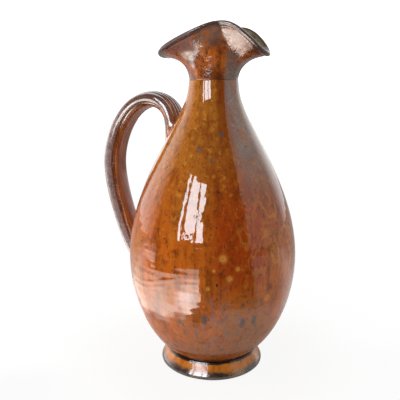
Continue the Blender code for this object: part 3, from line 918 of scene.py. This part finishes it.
def mouth_glaze(piece):
    """Red-brown glaze with orange runs and scummy grey patches, that breaks to plum along the rim, olive
    inside.

    The back lobe is matt and darkened near its edge by painted shade, with a bright coat under it. The
    spout's flank has a bright coat and a grey-white painted reflection with brown flecks.
    """
    glaze = GlazeFinish("rim_glaze")
    place = glaze.place
    rise = glaze.height - NECK_Z
    to_rim = glaze.values("to_rim")
    lining = glaze.values("lining")
    runs = place.stretched(1, 1, 0.2).noise(190.0, 5.0, 0.6)
    mottle = place.noise(140.0, 6.0, 0.7)
    broad = place.noise(48.0, 3.0)
    fine = place.noise(520.0, 4.0, 0.7)
    grit = place.noise(600.0, 2.0, 0.6).band(0.34, 0.54)

    patches = place.stretched(1, 1, 0.5).noise(80.0, 5.0, 0.65).band(0.54, 0.7)
    veil = place.bearing(MOUTH_VEIL_BEARING).band(0.86, 0.97)
    veil = veil * to_rim.band(20 * MM, 6 * MM) * mottle.band(0.25, 0.55)
    side = place.bearing(SCUM_BEARING).band(0.72, 0.84) * to_rim.band(15 * MM, 24 * MM) * (0.35 + grit * 0.65)
    # Painted reflection: grey-white with brown flecks on the spout's flank, where it reflects the sunlit
    # table.
    flank = place.bearing(SPOUT_FLANK_BEARING).band(0.88, 0.97) * rise.band(18 * MM, 26 * MM)
    flank = flank * to_rim.band(26 * MM, 8 * MM) * mottle.band(0.6, 0.4)
    greying = (patches * 0.6).at_least(veil * 0.7).at_least(side * 0.85).at_least(flank * 0.75)
    # Painted shade: the back lobe is darkened near its edge, where it reflects the shaded table; it is also
    # made matt.
    dull_shaded_lobe = place.bearing(DULL_SHADED_LOBE_BEARING).band(0.9, 0.98) * rise.band(18 * MM, 22 * MM)
    bright = place.bearing(BRIGHT_LOBE_BEARING).band(0.93, 0.985)
    bright = bright * rise.band(22 * MM, 19 * MM) * mottle.band(0.62, 0.45)
    edge = 1 - (to_rim + (mottle - 0.5) * 1.5 * MM).band(0.4 * MM, 1.9 * MM)

    colour = layered(
        mottle.band(0.38, 0.64).mix(*MOUTH_TONES),
        (runs.band(0.52, 0.38) * broad.band(0.44, 0.58), ORANGE),
        (broad.band(0.5, 0.36) * 0.7, UMBER),
        # Grey scum patches, and the grey-white painted reflection on the spout's flank.
        (greying, SCUM_AND_SHEEN_GREY),
        # Painted shade on the back lobe near its edge.
        (dull_shaded_lobe * 0.8, runs.band(0.42, 0.6).mix(CHESTNUT, UMBER)),
        (fine.band(0.54, 0.68) * 0.6, UMBER),
        (lining.band(0.7, 1.0), mottle.band(0.35, 0.65).mix(*OLIVES)),
        (edge * 0.85, PLUM),
    )
    roughness = 0.07 + mottle * 0.06 + greying * 0.12 + dull_shaded_lobe * 0.5
    relief = place.noise(230.0, 4.0, 0.6) + fine * 0.12
    glaze.lustre((flank * 0.5).at_least(bright))
    glaze.finish(piece, colour, roughness, relief, 0.4 * MM)


def handle_glaze(piece):
    """Lilac glaze on the reeds, painted shade at the crest, brown flanks and grooves, and pale specks of wear
    and painted glint.
    """
    glaze = GlazeFinish("handle_glaze")
    place = glaze.place
    groove, flank, inner, root = map(glaze.values, ("groove", "flank", "inner_face", "root"))
    mottle = place.noise(160.0, 5.0, 0.65)
    grain = place.noise(700.0, 3.0)
    streaks = place.stretched(1, 1, 0.2).noise(260.0, 4.0, 0.6)
    upper_z = NECK_Z - UPPER_ROOT_DROP
    crest_z = upper_z + CREST_RISE
    # Painted shade: the reeds darken towards the crest, where they reflect the dark mouth.
    high = glaze.height.band(crest_z - 26 * MM, crest_z + 2 * MM)
    upper_root = place.away_from(on_body(180.0, upper_z)).band(34 * MM, 18 * MM)
    # Pale specks: wear on the reeds, and painted glints in the roll's highlight.
    worn_and_glinting = grain.band(0.54, 0.64) * mottle.band(0.42, 0.56) * (1 - inner) * (1 - high * 0.7)
    brown = streaks.band(0.35, 0.65).mix(*STRAP_BROWNS)

    colour = layered(
        mottle.band(0.35, 0.65).mix(*LILACS),
        # Painted shade towards the crest.
        (high * 0.8, UMBER),
        (flank, brown),
        (groove.band(0.6, 0.85), brown),
        (groove.band(0.85, 1.0), UMBER),
        (inner.band(0.35, 0.8), streaks.band(0.35, 0.65).mix(*STRAP_INSIDES)),
        (upper_root * streaks.band(0.62, 0.45) * 0.8, brown),
        (root * 0.8, AMBER),
        # Pale specks of wear and painted glint.
        (worn_and_glinting * 0.8, WORN_EDGE_AND_GLINT),
    )
    roughness = 0.05 + mottle * 0.07 + worn_and_glinting * 0.1
    relief = place.noise(210.0, 4.0, 0.55) + grain * 0.15
    glaze.lustre((1 - inner) * (1 - worn_and_glinting * 0.5) * (0.45 + grain.band(0.38, 0.6) * 0.55))
    glaze.finish(piece, colour, roughness, relief, 0.12 * MM)


def foot_glaze(piece):
    """Amber glaze on the slope, run dark on the bead and in the crease, with bare clay underneath."""
    glaze = GlazeFinish("foot_glaze")
    place, height = glaze.place, glaze.height
    mottle = place.noise(140.0, 5.0, 0.65)
    broad = place.noise(45.0, 3.0)
    grain = place.noise(900.0, 3.0)
    streaks = place.stretched(1, 1, 0.4).noise(260.0, 5.0, 0.7)
    level = height + (mottle - 0.5) * 5.0 * MM + (broad - 0.5) * 5.0 * MM
    on_bead = 1 - level.band(5.0 * MM, 8.0 * MM)
    bare = 1 - height.band(0.25 * MM, 0.7 * MM)
    dark = layered(
        mottle.band(0.4, 0.7).mix(*BEAD_TONES),
        (broad.band(0.54, 0.62) * grain.band(0.35, 0.6), BEAD_OCHRE),
    )

    colour = layered(
        mottle.band(0.35, 0.65).mix(*FOOT_AMBERS),
        (streaks.band(0.5, 0.64) * 0.55, UMBER),
        (1 - level.band(5.0 * MM, 8.4 * MM), dark),
        ((height + (mottle - 0.5) * 2.0 * MM).band(10.9 * MM, 12.0 * MM), SOOT),
        (bare, grain.mix(*CLAYS)),
    )
    roughness = 0.03 + mottle * 0.05 + on_bead * 0.08 + bare * 0.6
    relief = place.noise(230.0, 4.0, 0.6) + grain * bare * 0.6
    glaze.lustre(on_bead * (1 - bare))
    glaze.finish(piece, colour, roughness, relief, 0.25 * MM)


# Pieces

body = make_body()
body_glaze(body)
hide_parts("belly")

foot = make_foot()
foot_glaze(foot)
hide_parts("foot")

mouth = make_mouth()
mouth_glaze(mouth)
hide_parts("mouth_collar")

handle = make_handle()
handle_glaze(handle)
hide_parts("handle_strap", "handle_upper_root", "handle_lower_root")

for piece in (body, foot, mouth, handle):
    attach(piece, "root")


# Viewpoint

to_viewer = Vector((math.sin(VIEW_AZIMUTH), -math.cos(VIEW_AZIMUTH), 0.0))
to_right = Vector((math.cos(VIEW_AZIMUTH), math.sin(VIEW_AZIMUTH), 0.0))
upright = Vector((0.0, 0.0, 1.0))


def axes_at(place, side, top, back):
    """Matrix of something at a place, with its X, Y and Z axes along side, top and back."""
    return Matrix.Translation(place) @ Matrix((side, top, back)).transposed().to_4x4()


def make_camera():
    """A camera at the viewpoint, pitched down and rolled slightly."""
    lens = bpy.data.cameras.new("viewpoint")
    lens.lens = FOCAL_LENGTH
    lens.sensor_width = SENSOR_WIDTH
    camera = add_object("viewpoint", lens)
    back = to_viewer * math.cos(VIEW_PITCH) + upright * math.sin(VIEW_PITCH)
    top = upright * math.cos(VIEW_PITCH) - to_viewer * math.sin(VIEW_PITCH)
    side = to_right * math.cos(VIEW_ROLL) + top * math.sin(VIEW_ROLL)
    place = to_viewer * VIEW_DISTANCE + to_right * VIEW_SIDESTEP + upright * VIEW_HEIGHT
    camera.matrix_world = axes_at(place, side, back.cross(side), back)
    bpy.context.scene.camera = camera


# Studio


def direction(degrees):
    """Level direction at an angle to the right of the line from the pitcher to the viewpoint."""
    angle = math.radians(degrees)
    return to_viewer * math.cos(angle) + to_right * math.sin(angle)


def add_panel(name, place, outward, width, height, radiance, colour):
    """A soft upright rectangular light that faces the pitcher. Its power is pi times its area times its
    radiance."""
    lamp = bpy.data.lights.new(name, "AREA")
    lamp.shape = "RECTANGLE"
    lamp.size = width
    lamp.size_y = height
    lamp.energy = math.pi * width * height * radiance
    lamp.color = colour
    panel = add_object(name, lamp)
    panel.matrix_world = axes_at(place, upright.cross(outward), upright, outward)
    panel.visible_camera = False
    return panel


def make_window():
    """Three upright panes side by side, in front on the left."""
    height = WINDOW_HIGH - WINDOW_LOW
    for number, (start, end) in enumerate(WINDOW_PANES):
        middle = direction((start + end) / 2)
        width = 2 * WINDOW_DISTANCE * math.tan(math.radians(end - start) / 2)
        place = middle * WINDOW_DISTANCE + upright * (WINDOW_LOW + WINDOW_HIGH) / 2
        add_panel(f"window_pane_{number + 1}", place, middle, width, height, WINDOW_RADIANCE, WINDOW_TINT)


def make_fills():
    """Two broad soft lights, left and right, that lighten the colours without showing in the gloss."""
    for number, (angle, radiance) in enumerate(FILLS):
        outward = direction(angle)
        place = outward * FILL_DISTANCE + upright * FILL_HEIGHT
        name = f"soft_fill_{number + 1}"
        fill = add_panel(name, place, outward, FILL_SIZE, FILL_SIZE, radiance, SOFT_WHITE)
        fill.visible_glossy = False


def bare_material(flat, name):
    """Put a material with no nodes yet on a flat piece, and return a start for its nodes."""
    material = bpy.data.materials.new(name)
    material.use_nodes = True
    material.node_tree.nodes.clear()
    flat.data.materials.append(material)
    return Shade(material.node_tree, None)


def add_flat(name, corners):
    """A flat piece of the studio with four corners."""
    mesh = bpy.data.meshes.new(name)
    mesh.from_pydata(corners, [], [(0, 1, 2, 3)])
    return add_object(name, mesh)


def add_sheet(name, side, front, radiance, colour, share):
    """A glowing sheet just above the floor, seen only in gloss. Its colour, and how much of it is there, are
    worked out from the place."""
    corners = []
    for x, y in ((0, 0), (0, 1), (1, 1), (1, 0)):
        corners.append(to_right * side[x] + to_viewer * front[y] + upright * SHEET_LIFT)
    sheet = add_flat(name, corners)
    sheet.visible_camera = False
    sheet.visible_diffuse = False
    sheet.visible_shadow = False
    start = bare_material(sheet, name)
    place = start.make("TexCoord", output="Object")
    clear = start.make("BsdfTransparent")
    glow = start.make("Emission", {"Color": colour(place), "Strength": radiance})
    mixed = start.make("MixShader", {0: share(place), 1: clear, 2: glow})
    start.make("OutputMaterial", {"Surface": mixed}, output=None)


def make_back_glow():
    """The reflection of a bright table behind, that fades out towards the pitcher."""
    def behind(place):
        return place.along(-to_viewer).band(0.05, 0.35)

    def soft_white(place):
        return (*SOFT_WHITE, 1.0)

    sides = (-BACK_TABLE_REACH, BACK_TABLE_REACH)
    front = (-BACK_TABLE_REACH, BACK_TABLE_FRONT)
    add_sheet("back_glow", sides, front, BACK_TABLE_RADIANCE, soft_white, behind)


def make_floor_spot():
    """The reflection of sunlight on the table in front on the left: white in the middle and warm round it."""
    left, right = SPOT_EDGES
    near, far = SPOT_REACH

    def lit(place):
        distance = place.away_from((0, 0, 0)) + (place.noise(30.0, 3.0) - 0.5) * 0.03
        within = distance.band(near, near + 0.015) * distance.band(far, far - 0.05)
        ragged = (place.noise(60.0, 3.0) - 0.5) * 0.09
        within = within * (place.along(direction(right + 90.0)) + ragged).band(0.004, -0.004)
        return within * place.along(direction(left - 90.0)).band(0.01, -0.03)

    def sun_colour(place):
        middle = direction(SPOT_ANGLE) * SPOT_DISTANCE
        return place.away_from(middle).band(0.01, 0.06).mix(WHITE, SPOT_DIM)

    add_sheet("floor_spot", (-far, 0.05), (0.0, far), SPOT_RADIANCE, sun_colour, lit)


def make_floor():
    """A wide pale floor, close to white for the camera, that keeps a soft shadow.

    In the gloss it is dark in front of the pitcher, between the edges of the two walls, and open on the left,
    so that the sunlit ground shows through.
    """
    corners = []
    for x, y in ((-1, -1), (1, -1), (1, 1), (-1, 1)):
        corners.append((x * FLOOR_REACH, y * FLOOR_REACH, 0))
    floor = add_flat("floor", corners)
    start = bare_material(floor, "pale_floor")
    seen = start.make("LightPath", output="Is Camera Ray")
    reflected = start.make("LightPath", output="Is Glossy Ray")
    place = start.make("TexCoord", output="Object")
    distance = place.away_from((0, 0, 0))

    front = place.along(direction(RIGHT_WALL_EDGE + 90.0)).band(0.02, -0.005)
    aside = place.along(to_viewer).band(-0.1, 0.05)
    shade = distance.band(0.10, 0.17) * (aside * 0.6 + front * 0.4)
    shade = shade * place.along(direction(LEFT_WALL_EDGE - 90.0)).band(0.02, -0.02)
    # Painted shadow: the floor is darker and warmer close to the pitcher.
    pale = distance.band(0.07, 0.16).mix(FLOOR_WARM_SHADOW, FLOOR_PALE)
    matt = start.make("BsdfDiffuse", {"Color": shade.mix(pale, FLOOR_SHADE)})
    glow = start.make("Emission", {"Color": (*WHITE, 1.0), "Strength": 1.0})
    white = seen * (FLOOR_WHITE_NEAR + distance.band(0.06, 0.24) * (1 - FLOOR_WHITE_NEAR))
    mixed = start.make("MixShader", {0: white, 1: matt, 2: glow})

    ragged = distance + (place.noise(9.0, 3.0) - 0.5) * 0.12
    beyond = ragged.band(FLOOR_OPEN_FROM - 0.015, FLOOR_OPEN_FROM + 0.015)
    beyond = beyond * ragged.band(FLOOR_OPEN_TO + 0.03, FLOOR_OPEN_TO - 0.03)
    beyond = beyond * place.along(to_right).band(0.02, -0.02) * place.along(to_viewer).band(-0.2, -0.1)
    clear = start.make("BsdfTransparent")
    ended = start.make("MixShader", {0: reflected * beyond, 1: mixed, 2: clear})
    start.make("OutputMaterial", {"Surface": ended}, output=None)


def sunlit_ground(ray, left_side):
    """Radiance of the sunlit ground below on the left, with ragged top, right and near edges.

    It brightens further down and in one corner, and loses some light towards the left.
    """
    down = ray.along(-upright)
    uneven = (ray.noise(7.0, 3.0) - 0.5) * 0.12
    near = ray.along(direction(SUNLIT_NEAR_ANGLE) - upright * SUNLIT_NEAR) + uneven
    top = ray.along(-upright - direction(-90.0) * SUNLIT_TILT) + uneven * 0.4
    right = ray.along(direction(SUNLIT_RIGHT + 90.0)) + (ray.noise(20.0, 3.0) - 0.5) * 0.22
    shown = near.band(0.03, -0.03) * right.band(0.01, -0.02)
    shown = shown * top.band(math.sin(math.radians(SUNLIT_TOP - 2)), math.sin(math.radians(SUNLIT_TOP + 1)))
    low, high = SUNLIT_RADIANCE
    angle, rise, extra = SUNLIT_CORNER
    rise = math.radians(rise)
    corner = ray.along(direction(angle) * math.cos(rise) + upright * math.sin(rise)).band(0.93, 0.99)
    shown = shown * (low + down.band(0.25, 0.62) * (high - low) + corner * extra)
    return shown * (1 - left_side.band(0.0, 0.5) * SUNLIT_LEFT_LOSS)


def make_world():
    """White to the camera. For other rays, worked out from their direction: dark towards the viewer, a grey
    wall with an upright edge on the right, white behind and on the left, a slanted bright slit on the left,
    and the sunlit ground."""
    world = bpy.data.worlds.new("studio")
    world.use_nodes = True
    bpy.context.scene.world = world
    world.node_tree.nodes.clear()
    start = Shade(world.node_tree, None)
    ray = start.make("TexCoord", output="Generated")
    up = ray.along(upright)

    right_side = ray.along(direction(RIGHT_WALL_EDGE + 90.0))
    left_side = ray.along(direction(LEFT_WALL_EDGE - 90.0))
    wall = right_side.band(-0.01, 0.02) * (RIGHT_WALL_RADIANCE + up.band(0.1, 0.7) * RIGHT_WALL_RISE)
    left = left_side.band(0.05, 0.6) * up.band(-0.7, -0.3) * LEFT_WALL_RADIANCE
    back = ray.along(-to_viewer).band(0.45, 0.95) * BACK_GLOW_RADIANCE
    sunlit = sunlit_ground(ray, left_side)
    across = ray.along(direction(SLIT_ANGLE + 90.0) + upright * SLIT_SLANT) + SLIT_DROP * SLIT_SLANT
    inner, outer = SLIT_EDGES
    slit = across.band(-outer, -inner) * across.band(outer, inner) * left_side.band(0.0, 0.05)
    slit = slit * up.band(-0.25, -0.22) * up.band(-0.02, -0.05) * SLIT_RADIANCE
    strength = wall.at_least(left).at_least(back).at_least(sunlit).at_least(slit) + AMBIENT_RADIANCE
    seen = start.make("LightPath", output="Is Camera Ray")
    tint = (sunlit.band(0.0, 1.0) * (1 - seen)).mix(WHITE, SUNLIT_TINT)
    sky = start.make("Background", {"Color": tint, "Strength": seen.at_least(strength)})
    start.make("OutputWorld", {"Surface": sky}, output=None)


make_camera()
make_window()
make_fills()
make_back_glow()
make_floor_spot()
make_floor()
make_world()
bpy.context.scene.view_settings.view_transform = "Standard"
